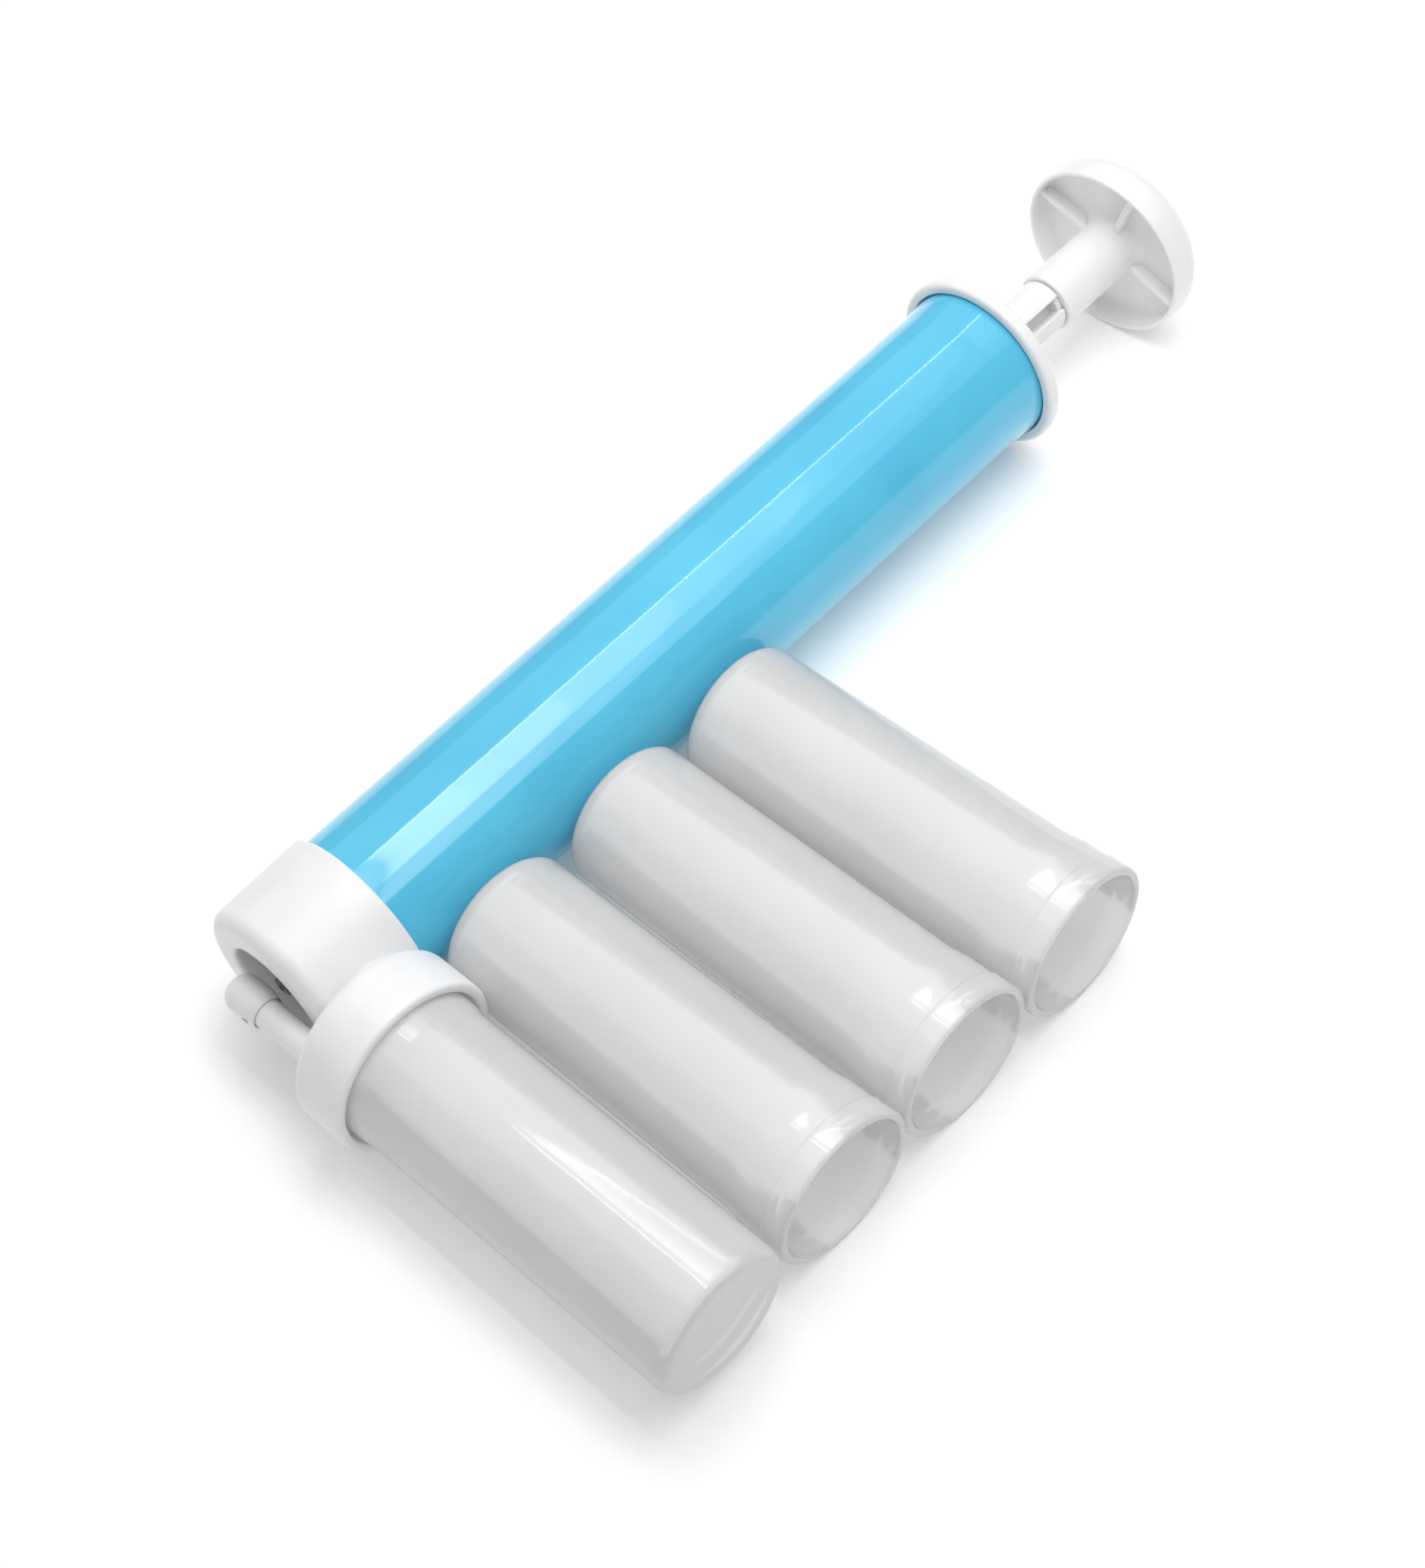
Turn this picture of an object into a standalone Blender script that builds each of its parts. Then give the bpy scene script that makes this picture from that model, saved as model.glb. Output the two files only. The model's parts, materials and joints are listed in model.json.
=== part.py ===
"""Hand-pumped sugar-powder airbrush: pump, spray head, mounted jar and three spare jars.

Run with: blender --background --python part.py
Units are metres, +Z is up and +X runs along the barrel from the spray head to the knob.
The origin is on the table, under the middle of the whole set.

The pump lies on its side, on the rear edge of its hood and on its wider rear cap, so the
barrel rises a little towards the knob. The jar that is pushed into the spray head points to
-Y, turned about the barrel until the jar cap touches the table too.
Lengths along the pump are counted from the front face of the spray head.
Lengths along the mounted jar are counted from the barrel axis, outwards.
"""

from math import asin, atan, cos, pi, radians, sin, tan, tau

import bmesh
import bpy
from mathutils import Vector

MM = 0.001
GAP = 0.3 * MM                  # clearance kept between two pieces that touch
ROUND_SIDES = 40                # sides of a large turned piece
JAR_SIDES = 28
SMALL_SIDES = 16
ARC_STEP = radians(40)          # a rounded corner turns by about this much at each point
SHARP_ANGLE = radians(35)

# Barrel
BARREL_RADIUS = 17.5 * MM
BARREL_BORE = 15.7 * MM
BARREL_FRONT = 13.3 * MM
BARREL_REAR = 206.3 * MM
BARREL_FLARE = 0.4 * MM         # how much the rear end widens
BARREL_FLARE_LENGTH = 9 * MM

# Spray head: a hood over the nozzle
HOOD_FRONT_RADIUS = 18.45 * MM
HOOD_REAR_RADIUS = 18.95 * MM
HOOD_LENGTH = 22.65 * MM
HOOD_MOUTH_RADIUS = 10.85 * MM
HOOD_LIP_ROUNDING = 3.2 * MM
HOOD_INNER_LENGTH = 10.3 * MM   # depth of the open mouth

# Jar cap, moulded on the side of the hood
JAR_AXIS_X = 6.2 * MM           # jar axis, behind the front face of the hood
CAP_RADIUS = 18.75 * MM
CAP_BORE = 16.65 * MM
CAP_TOP = 19.3 * MM
CAP_ROOF = 1.0 * MM
CAP_RIM = 32.6 * MM
CAP_SHOULDER = 2.8 * MM
EDGE_ROUNDING = 0.8 * MM
NECK_X = 11.7 * MM
NECK_RADIUS = 10.4 * MM

# Outlet pipe, spray tip and dip tube
PIPE_X = -3.5 * MM
PIPE_RADIUS = 3.1 * MM
PIPE_BORE = 1.3 * MM
PIPE_INNER_END = 3.7 * MM       # past the barrel axis
PIPE_JAR_END = 26.0 * MM
TUBE_SOCKET_DEPTH = 4.2 * MM
JET_HOLE_RADIUS = 0.8 * MM
TIP_RADIUS = 4.0 * MM
TIP_FOOT_RADIUS = 3.5 * MM
TIP_TAPER = 2.6 * MM
TIP_LENGTH = 9.6 * MM
TIP_END = 7.4 * MM              # far end of the tip, past the barrel axis
TUBE_RADIUS = 2.0 * MM
TUBE_BORE = 1.2 * MM

# Jars
JAR_LENGTH = 88.4 * MM
JAR_BASE_RADIUS = 15.28 * MM
JAR_NECK_RADIUS = 15.43 * MM
JAR_COLLAR_RADIUS = 16.35 * MM
JAR_COLLAR_LENGTH = 8.5 * MM
JAR_WALL = 1.2 * MM
JAR_CORNER = 2.4 * MM
JAR_FLARE_START = 6.5 * MM      # the wall widens between these, before the collar
JAR_FLARE_END = 2.2 * MM
JAR_REACH = 110.3 * MM          # closed end of the mounted jar, along the jar

# Rear cap, rod guide and plunger
REAR_CAP_FRONT = 204.5 * MM
REAR_CAP_THICKNESS = 3.5 * MM
REAR_CAP_RADIUS = 20.5 * MM
GUIDE_RADIUS = 7.1 * MM
GUIDE_FLANGE_RADIUS = 8.8 * MM
GUIDE_FRONT = 198.5 * MM
GUIDE_FACE = 209.3 * MM
RIB_TURN = radians(20)          # how far the knob's ribs are turned about the barrel axis
GROOVE_TURN = radians(124)      # the rod's grooves, from the knob's ribs
ROD_RADIUS = 6.0 * MM
GROOVE_WIDTH = 3.0 * MM
GROOVE_DEPTH = 4.3 * MM
ROD_FRONT = 51.9 * MM
ROD_BOSS_LENGTH = 9.0 * MM
ROD_BOSS_RADIUS = 5.2 * MM
ROD_REAR = 249.5 * MM
SPIGOT_RADIUS = 4.8 * MM        # end of the rod, inside the knob's sleeve
SLEEVE_RADIUS = 6.8 * MM
SLEEVE_FRONT = 228.0 * MM
SLEEVE_FILLET = 2.5 * MM
KNOB_FRONT = 247.5 * MM
KNOB_FLOOR = 251.8 * MM
KNOB_TOP = 259.0 * MM
KNOB_RADIUS = 20.9 * MM
KNOB_RIB = 1.6 * MM
KNOB_RIB_FRONT = 249.0 * MM

# Piston pieces, along the pump
SCREW_FRONT = 36.4 * MM
PISTON_FRONT = 38.2 * MM
SEAL_FRONT = 37.9 * MM
SEAL_WEB_FRONT = 41.8 * MM
SEAL_REAR = 43.3 * MM
PISTON_REAR = 51.6 * MM
SCREW_RADIUS = 2.0 * MM
SCREW_HOLE = 2.3 * MM

# Where the set lies: the hood's rear edge, the rear cap and the jar cap touch the table
HOOD_CONTACT = HOOD_LENGTH - 0.4 * MM
REAR_CAP_CONTACT = REAR_CAP_FRONT + 1.0 * MM
RISE = atan((REAR_CAP_RADIUS - HOOD_REAR_RADIUS) / (REAR_CAP_CONTACT - HOOD_CONTACT))
AXIS_HEIGHT = HOOD_REAR_RADIUS * cos(RISE) - HOOD_CONTACT * sin(RISE)
TABLE_BELOW_JAR = HOOD_REAR_RADIUS - (HOOD_CONTACT - JAR_AXIS_X) * tan(RISE)
JAR_DROP = asin((TABLE_BELOW_JAR - CAP_RADIUS) / (CAP_RIM - EDGE_ROUNDING))
HEAD_X = (CAP_RADIUS - JAR_AXIS_X - KNOB_TOP * cos(RISE)) / 2
JAR_END_RADIUS = JAR_BASE_RADIUS - JAR_CORNER
FARTHEST_OUT = JAR_REACH * cos(JAR_DROP) + JAR_END_RADIUS * sin(JAR_DROP)
BARREL_Y = (FARTHEST_OUT - KNOB_RADIUS) / 2

# Spare jars: (along the pump, closed end out from the barrel axis, yaw), each on its own
# base corner and collar on the table
SPARE_JARS = (
    (40.4 * MM, 19.5 * MM, radians(-0.65)),
    (73.8 * MM, 19.4 * MM, radians(-0.85)),
    (105.5 * MM, 20.0 * MM, radians(0.2)),
)
SPARE_JAR_SPAN = JAR_LENGTH - JAR_COLLAR_LENGTH - JAR_CORNER
SPARE_JAR_LEAN = atan((JAR_COLLAR_RADIUS - JAR_BASE_RADIUS) / SPARE_JAR_SPAN)

# Material colours: (red, green, blue, alpha), roughness, metallic
BLUE_PLASTIC = ("blue_plastic", (0.10, 0.50, 0.74, 1.0), 0.18, 0.0)
WHITE_PLASTIC = ("white_plastic", (0.88, 0.88, 0.88, 1.0), 0.35, 0.0)
FROSTED_PLASTIC = ("frosted_plastic", (0.82, 0.83, 0.83, 0.6), 0.4, 0.0)
SOFT_TUBE = ("soft_tube", (0.86, 0.86, 0.84, 0.8), 0.4, 0.0)
GREY_PLASTIC = ("grey_plastic", (0.15, 0.15, 0.155, 1.0), 0.45, 0.0)
GREY_RUBBER = ("grey_rubber", (0.20, 0.20, 0.21, 1.0), 0.6, 0.0)
CLEAR_SILICONE = ("clear_silicone", (0.80, 0.80, 0.78, 1.0), 0.5, 0.0)
STEEL = ("steel", (0.60, 0.60, 0.61, 1.0), 0.3, 1.0)


def clear_scene():
    for old in list(bpy.data.objects):
        bpy.data.objects.remove(old, do_unlink=True)


def make_material(name, finish):
    _, colour, roughness, metallic = finish
    material = bpy.data.materials.new(f"{name}_{finish[0]}")
    material.use_nodes = True
    shader = material.node_tree.nodes["Principled BSDF"]
    shader.inputs["Base Color"].default_value = colour
    shader.inputs["Alpha"].default_value = colour[3]
    shader.inputs["Roughness"].default_value = roughness
    shader.inputs["Metallic"].default_value = metallic
    return material


def make_empty(name, location, rotation=(0, 0, 0), parent=None):
    empty = bpy.data.objects.new(name, None)
    empty.location = location
    empty.rotation_euler = rotation
    empty.parent = parent
    bpy.context.collection.objects.link(empty)
    return empty


def finish_object(name, bm, parent=None, location=(0, 0, 0), rotation=(0, 0, 0), finish=None):
    """Turns a bmesh into a placed object; one with no finish is a tool for a Boolean."""
    bmesh.ops.recalc_face_normals(bm, faces=bm.faces)
    mesh = bpy.data.meshes.new(name)
    bm.to_mesh(mesh)
    bm.free()
    mesh.shade_smooth()
    mesh.set_sharp_from_angle(angle=SHARP_ANGLE)
    piece = bpy.data.objects.new(name, mesh)
    piece.parent = parent
    piece.location = location
    piece.rotation_euler = rotation
    if finish is None:
        piece.hide_render = True
        piece.display_type = 'WIRE'
    else:
        mesh.materials.append(make_material(name, finish))
    bpy.context.collection.objects.link(piece)
    return piece


def rounded_outline(corners, closed):
    """Corners are (x, radius) or (x, radius, rounding); roundings become arcs."""
    points = []
    count = len(corners)
    for index, corner in enumerate(corners):
        here = Vector(corner[:2])
        is_end = not closed and index in (0, count - 1)
        rounding = corner[2] if len(corner) > 2 and not is_end else 0
        if rounding == 0:
            points.append(here)
            continue
        to_last = (Vector(corners[index - 1][:2]) - here).normalized()
        to_next = (Vector(corners[(index + 1) % count][:2]) - here).normalized()
        half = to_last.angle(to_next) / 2
        middle = here + (to_last + to_next).normalized() * rounding / sin(half)
        start = here + to_last * rounding * cos(half) / sin(half) - middle
        sweep = start.angle_signed(here + to_next * rounding * cos(half) / sin(half) - middle)
        steps = max(1, round(abs(sweep) / ARC_STEP))
        for step in range(steps + 1):
            angle = -sweep * step / steps
            turned = Vector((start.x * cos(angle) - start.y * sin(angle),
                             start.x * sin(angle) + start.y * cos(angle)))
            points.append(middle + turned)
    return points


def turned_mesh(corners, sides, closed=True):
    """Spins an outline of (x, radius) corners about X; an open outline ends on the axis."""
    bm = bmesh.new()
    ring = [bm.verts.new((point.x, point.y, 0)) for point in rounded_outline(corners, closed)]
    edges = [bm.edges.new(pair) for pair in zip(ring, ring[1:])]
    if closed:
        edges.append(bm.edges.new((ring[-1], ring[0])))
    bmesh.ops.spin(bm, geom=ring + edges, cent=(0, 0, 0), axis=(1, 0, 0), angle=tau,
                   steps=sides, use_merge=True)
    bmesh.ops.remove_doubles(bm, verts=bm.verts, dist=0.001 * MM)
    return bm


def turned(name, corners, finish, parent, sides=ROUND_SIDES, closed=True, **place):
    return finish_object(name, turned_mesh(corners, sides, closed), parent, finish=finish, **place)


def rod_tool(name, radius, start, end, parent, sides=SMALL_SIDES, **place):
    """A plain cylinder along X, used by a Boolean."""
    corners = [(start, 0), (start, radius), (end, radius), (end, 0)]
    return finish_object(name, turned_mesh(corners, sides, closed=False), parent, **place)


def block_mesh(low, high):
    bm = bmesh.new()
    bmesh.ops.create_cube(bm, size=1)
    low = Vector(low)
    high = Vector(high)
    for vertex in bm.verts:
        vertex.co = low + Vector(((high[i] - low[i]) * (vertex.co[i] + 0.5) for i in range(3)))
    return bm


def grooved_mesh(start, end):
    """A round bar along X with a lengthwise groove in each of two sides."""
    bm = bmesh.new()
    floor = ROD_RADIUS - GROOVE_DEPTH
    half = GROOVE_WIDTH / 2
    edge = asin(half / ROD_RADIUS)
    steps = 8
    side = [(floor, -half), (floor, half)]
    for step in range(steps + 1):
        angle = edge + (pi - 2 * edge) * step / steps
        side.append((ROD_RADIUS * cos(angle), ROD_RADIUS * sin(angle)))
    ring = [bm.verts.new((start, y * flip, z * flip)) for flip in (1, -1) for y, z in side]
    face = bm.faces.new(ring)
    pushed = bmesh.ops.extrude_face_region(bm, geom=[face])
    moved = [item for item in pushed["geom"] if isinstance(item, bmesh.types.BMVert)]
    bmesh.ops.translate(bm, verts=moved, vec=(end - start, 0, 0))
    return bm


def combine(piece, tool, operation):
    modifier = piece.modifiers.new(f"{operation.lower()}_{tool.name}", 'BOOLEAN')
    modifier.operation = operation
    modifier.solver = 'EXACT'
    modifier.object = tool


def swept_tube_mesh(centre_line, radius, bore, sides):
    """A tube along a line that lies in the XY plane, with square-cut open ends."""
    bm = bmesh.new()
    rings = []
    count = len(centre_line)
    for index, point in enumerate(centre_line):
        before = centre_line[max(index - 1, 0)]
        after = centre_line[min(index + 1, count - 1)]
        along = (after - before).normalized()
        across = Vector((-along.y, along.x, 0))
        pair = []
        for size in (radius, bore):
            pair.append([bm.verts.new(point + across * size * cos(tau * k / sides)
                                      + Vector((0, 0, size * sin(tau * k / sides))))
                         for k in range(sides)])
        rings.append(pair)
    for k in range(sides):
        n = (k + 1) % sides
        for (outer, inner), (next_outer, next_inner) in zip(rings, rings[1:]):
            bm.faces.new((outer[k], next_outer[k], next_outer[n], outer[n]))
            bm.faces.new((inner[k], inner[n], next_inner[n], next_inner[k]))
        for outer, inner in (rings[0], rings[-1]):
            bm.faces.new((outer[k], outer[n], inner[n], inner[k]))
    return bm


def bezier(points, steps):
    """Points of a cubic Bezier curve in the XY plane."""
    line = []
    for step in range(steps + 1):
        t = step / steps
        weights = ((1 - t) ** 3, 3 * t * (1 - t) ** 2, 3 * t * t * (1 - t), t ** 3)
        line.append(sum((Vector((*p, 0)) * w for p, w in zip(points, weights)), Vector((0, 0, 0))))
    return line


def make_barrel(pump):
    flared = BARREL_RADIUS + BARREL_FLARE
    turned("barrel", [
        (BARREL_FRONT, BARREL_BORE),
        (BARREL_FRONT, BARREL_RADIUS, 0.5 * MM),
        (BARREL_REAR - BARREL_FLARE_LENGTH, BARREL_RADIUS),
        (BARREL_REAR - BARREL_FLARE_LENGTH / 3, flared),
        (BARREL_REAR, flared),
        (BARREL_REAR, BARREL_BORE),
    ], BLUE_PLASTIC, pump)


def make_spray_head(head):
    """Hood, neck and jar cap in one moulding."""
    hood = turned("spray_head", [
        (0, HOOD_MOUTH_RADIUS, 0.8 * MM),
        (0, HOOD_FRONT_RADIUS, HOOD_LIP_ROUNDING),
        (HOOD_LENGTH, HOOD_REAR_RADIUS, 0.4 * MM),
        (HOOD_LENGTH, BARREL_RADIUS + GAP),
        (BARREL_FRONT, BARREL_RADIUS + GAP),
        (BARREL_FRONT, BARREL_RADIUS),
        (4.6 * MM, BARREL_RADIUS),
        (2.2 * MM, BARREL_RADIUS - 1.1 * MM),
        (2.2 * MM, HOOD_MOUTH_RADIUS + 1.5 * MM),
        (HOOD_INNER_LENGTH, HOOD_MOUTH_RADIUS + 1.5 * MM),
        (HOOD_INNER_LENGTH, HOOD_MOUTH_RADIUS),
    ], WHITE_PLASTIC, head)
    outwards = (0, 0, -pi / 2)
    cap = finish_object("cap_shape", turned_mesh([
        (CAP_TOP, 0),
        (CAP_TOP, CAP_RADIUS, CAP_SHOULDER),
        (CAP_RIM, CAP_RADIUS, EDGE_ROUNDING),
        (CAP_RIM, CAP_BORE, 0.4 * MM),
        (CAP_TOP + CAP_ROOF, CAP_BORE),
        (CAP_TOP + CAP_ROOF, 0),
    ], ROUND_SIDES, closed=False), head, location=(JAR_AXIS_X, 0, 0), rotation=outwards)
    neck_end = CAP_TOP + CAP_ROOF / 2
    neck = rod_tool("neck_shape", NECK_RADIUS, HOOD_MOUTH_RADIUS, neck_end, head,
                    location=(NECK_X, 0, 0), rotation=outwards)
    wall_middle = (HOOD_FRONT_RADIUS + BARREL_RADIUS) / 2 + 0.15 * MM
    saddle = rod_tool("saddle_cutter", wall_middle, -HOOD_LENGTH, 2 * HOOD_LENGTH, head,
                      sides=ROUND_SIDES)
    combine(neck, saddle, 'DIFFERENCE')
    pipe_hole = rod_tool("pipe_hole_cutter", PIPE_RADIUS + GAP, CAP_TOP - CAP_ROOF,
                         CAP_TOP + 2 * CAP_ROOF, head, location=(PIPE_X, 0, 0), rotation=outwards)
    combine(cap, pipe_hole, 'DIFFERENCE')
    combine(hood, neck, 'UNION')
    combine(hood, cap, 'UNION')


def make_air_nozzle(pump):
    """Plug that closes the barrel, with the jet that blows through the spray tip."""
    flange_front = HOOD_INNER_LENGTH + GAP
    flange_rear = BARREL_FRONT - GAP
    spigot = BARREL_BORE - GAP
    jet = 0.8 * MM
    turned("air_nozzle", [
        (1.8 * MM, jet),
        (1.8 * MM, 2.0 * MM, 0.4 * MM),
        (flange_front, 4.6 * MM),
        (flange_front, BARREL_RADIUS - GAP),
        (flange_rear, BARREL_RADIUS - GAP),
        (flange_rear, spigot),
        (14.2 * MM, spigot),
        (14.2 * MM, spigot - 1.7 * MM),
        (16.4 * MM, spigot - 1.7 * MM),
        (16.4 * MM, spigot),
        (18.0 * MM, spigot),
        (18.0 * MM, spigot - 2.8 * MM),
        (flange_rear, spigot - 2.8 * MM),
        (flange_rear, 3.0 * MM),
        (6.5 * MM, jet),
    ], GREY_PLASTIC, pump, sides=JAR_SIDES)
    ring_radius = 0.75 * MM
    ring_middle = spigot - 0.7 * MM
    corners = [(15.3 * MM + ring_radius * cos(tau * k / 6), ring_middle + ring_radius * sin(tau * k / 6))
               for k in range(6)]
    turned("nozzle_seal", corners, GREY_RUBBER, pump, sides=JAR_SIDES)


def make_outlet(head):
    """Pipe that lifts powder from the jar, its tip in front of the jet, and the dip tube."""
    inwards = (0, 0, pi / 2)
    socket = TUBE_RADIUS + GAP
    pipe = turned("outlet_pipe", [
        (PIPE_INNER_END, 0),
        (PIPE_INNER_END, PIPE_RADIUS, 0.6 * MM),
        (-PIPE_JAR_END, PIPE_RADIUS, 0.3 * MM),
        (-PIPE_JAR_END, socket),
        (TUBE_SOCKET_DEPTH - PIPE_JAR_END, socket),
        (TUBE_SOCKET_DEPTH - PIPE_JAR_END, PIPE_BORE),
        (1.4 * MM, PIPE_BORE),
        (1.4 * MM, 0),
    ], WHITE_PLASTIC, head, sides=SMALL_SIDES, closed=False,
        location=(PIPE_X, 0, 0), rotation=inwards)
    bore = PIPE_RADIUS + GAP
    tip = turned("spray_tip", [
        (TIP_END, 0),
        (TIP_END, TIP_RADIUS, 2.6 * MM),
        (TIP_END - TIP_LENGTH + TIP_TAPER, TIP_RADIUS),
        (TIP_END - TIP_LENGTH, TIP_FOOT_RADIUS),
        (TIP_END - TIP_LENGTH, bore),
        (PIPE_INNER_END + GAP, bore),
        (PIPE_INNER_END + GAP, 0),
    ], WHITE_PLASTIC, head, sides=SMALL_SIDES, closed=False,
        location=(PIPE_X, 0, 0), rotation=inwards)
    reach = 2 * TIP_RADIUS
    jet_hole = rod_tool("jet_hole_cutter", JET_HOLE_RADIUS, PIPE_X - reach, PIPE_X + reach, head,
                        sides=8)
    combine(pipe, jet_hole, 'DIFFERENCE')
    combine(tip, jet_hole, 'DIFFERENCE')

    top = TUBE_SOCKET_DEPTH - PIPE_JAR_END - GAP
    bow = bezier([(PIPE_X, -PIPE_JAR_END - 2 * MM), (PIPE_X - 4.2 * MM, -52 * MM),
                  (PIPE_X - 1.5 * MM, -82 * MM), (JAR_AXIS_X + 1.5 * MM, -104 * MM)], 11)
    bm = swept_tube_mesh([Vector((PIPE_X, top, 0))] + bow, TUBE_RADIUS, TUBE_BORE, 8)
    finish_object("dip_tube", bm, head, finish=SOFT_TUBE)


def jar_corners():
    """Outline of a jar, from the middle of its closed end to the middle of its floor."""
    collar = JAR_LENGTH - JAR_COLLAR_LENGTH
    inner = JAR_NECK_RADIUS - JAR_WALL
    return [
        (0, 0),
        (0, JAR_BASE_RADIUS, JAR_CORNER),
        (collar - JAR_FLARE_START, JAR_NECK_RADIUS),
        (collar - JAR_FLARE_END, JAR_COLLAR_RADIUS - GAP),
        (collar, JAR_COLLAR_RADIUS - GAP),
        (collar, JAR_COLLAR_RADIUS),
        (JAR_LENGTH, JAR_COLLAR_RADIUS, 0.5 * MM),
        (JAR_LENGTH, inner + 0.5 * MM),
        (JAR_LENGTH - 5 * MM, inner),
        (JAR_WALL, JAR_BASE_RADIUS - JAR_WALL, JAR_CORNER - JAR_WALL / 2),
        (JAR_WALL, 0),
    ]


def make_jars(head, table):
    turned("jar", jar_corners(), FROSTED_PLASTIC, head, sides=JAR_SIDES, closed=False,
           location=(JAR_AXIS_X, -JAR_REACH, 0), rotation=(0, 0, pi / 2))
    gasket_top = CAP_TOP + CAP_ROOF + GAP
    gasket_rim = JAR_REACH - JAR_LENGTH - GAP
    turned("jar_gasket", [
        (gasket_top, 13.2 * MM), (gasket_top, CAP_BORE - GAP),
        (gasket_rim, CAP_BORE - GAP), (gasket_rim, 13.2 * MM),
    ], CLEAR_SILICONE, head, sides=JAR_SIDES, location=(JAR_AXIS_X, 0, 0),
        rotation=(0, 0, -pi / 2))
    height = JAR_BASE_RADIUS * cos(SPARE_JAR_LEAN) - JAR_CORNER * sin(SPARE_JAR_LEAN)
    for number, (along, out, yaw) in enumerate(SPARE_JARS, start=1):
        turned(f"spare_jar_{number}", jar_corners(), FROSTED_PLASTIC, table, sides=JAR_SIDES,
               closed=False, location=(along, -out, height),
               rotation=(0, -SPARE_JAR_LEAN, yaw - pi / 2))


def make_rear_cap(pump):
    face = REAR_CAP_FRONT + REAR_CAP_THICKNESS
    hole = GUIDE_RADIUS + GAP
    groove = BARREL_REAR + GAP
    spigot = BARREL_BORE - GAP
    turned("rear_cap", [
        (face, hole),
        (face, GUIDE_FLANGE_RADIUS + 2 * GAP),
        (face, REAR_CAP_RADIUS, 1.3 * MM),
        (REAR_CAP_FRONT, REAR_CAP_RADIUS, 1.0 * MM),
        (REAR_CAP_FRONT, BARREL_RADIUS + BARREL_FLARE + GAP),
        (groove, BARREL_RADIUS + BARREL_FLARE + GAP),
        (groove, spigot),
        (194 * MM, spigot, 0.6 * MM),
        (194 * MM, spigot - 1.8 * MM),
        (groove - 0.7 * MM, spigot - 1.8 * MM),
        (groove - 0.7 * MM, hole),
    ], WHITE_PLASTIC, pump)
    bore = ROD_RADIUS + GAP
    turned("rod_guide", [
        (GUIDE_FRONT, bore),
        (GUIDE_FRONT, GUIDE_RADIUS),
        (face + GAP, GUIDE_RADIUS),
        (face + GAP, GUIDE_FLANGE_RADIUS),
        (GUIDE_FACE, GUIDE_FLANGE_RADIUS, 0.4 * MM),
        (GUIDE_FACE, bore),
    ], WHITE_PLASTIC, pump, sides=JAR_SIDES)


def make_plunger(plunger):
    boss_rear = ROD_FRONT + ROD_BOSS_LENGTH
    bar_rear = SLEEVE_FRONT - GAP
    rod = finish_object("plunger_rod", grooved_mesh(boss_rear - 1 * MM, bar_rear), plunger,
                        rotation=(GROOVE_TURN, 0, 0), finish=WHITE_PLASTIC)
    boss = finish_object("rod_boss_shape", turned_mesh([
        (ROD_FRONT, SCREW_HOLE), (ROD_FRONT, ROD_BOSS_RADIUS), (boss_rear, ROD_BOSS_RADIUS),
        (boss_rear, 0), (boss_rear - 1.5 * MM, 0), (boss_rear - 1.5 * MM, SCREW_HOLE),
    ], SMALL_SIDES), plunger)
    combine(rod, boss, 'UNION')
    spigot = rod_tool("rod_spigot_shape", SPIGOT_RADIUS, bar_rear - 1 * MM, ROD_REAR, plunger)
    combine(rod, spigot, 'UNION')

    bore = SPIGOT_RADIUS + GAP
    bore_end = ROD_REAR + GAP
    rim = KNOB_RADIUS - 0.4 * MM
    knob = turned("knob", [
        (bore_end, 0),
        (bore_end, bore),
        (SLEEVE_FRONT, bore),
        (SLEEVE_FRONT, SLEEVE_RADIUS, 0.5 * MM),
        (KNOB_FLOOR, SLEEVE_RADIUS, SLEEVE_FILLET),
        (KNOB_FLOOR, rim - 1.2 * MM, 1.0 * MM),
        (KNOB_FRONT, rim - 0.9 * MM, 0.3 * MM),
        (KNOB_FRONT, rim, 0.4 * MM),
        (KNOB_FRONT + 5.8 * MM, KNOB_RADIUS, 5 * MM),
        (KNOB_FRONT + 9.3 * MM, KNOB_RADIUS - 2.4 * MM, 4 * MM),
        (KNOB_TOP - 0.6 * MM, 11.0 * MM, 12 * MM),
        (KNOB_TOP, 4.0 * MM, 6 * MM),
        (KNOB_TOP, 0),
    ], WHITE_PLASTIC, plunger, closed=False)
    for turn in range(4):
        rib = finish_object(f"knob_rib_shape_{turn}", block_mesh(
            (KNOB_RIB_FRONT, (bore + SLEEVE_RADIUS) / 2, -KNOB_RIB / 2),
            (KNOB_FLOOR + 0.5 * MM, rim - 0.6 * MM, KNOB_RIB / 2)),
            plunger, rotation=(turn * pi / 2, 0, 0))
        combine(knob, rib, 'UNION')


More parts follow.
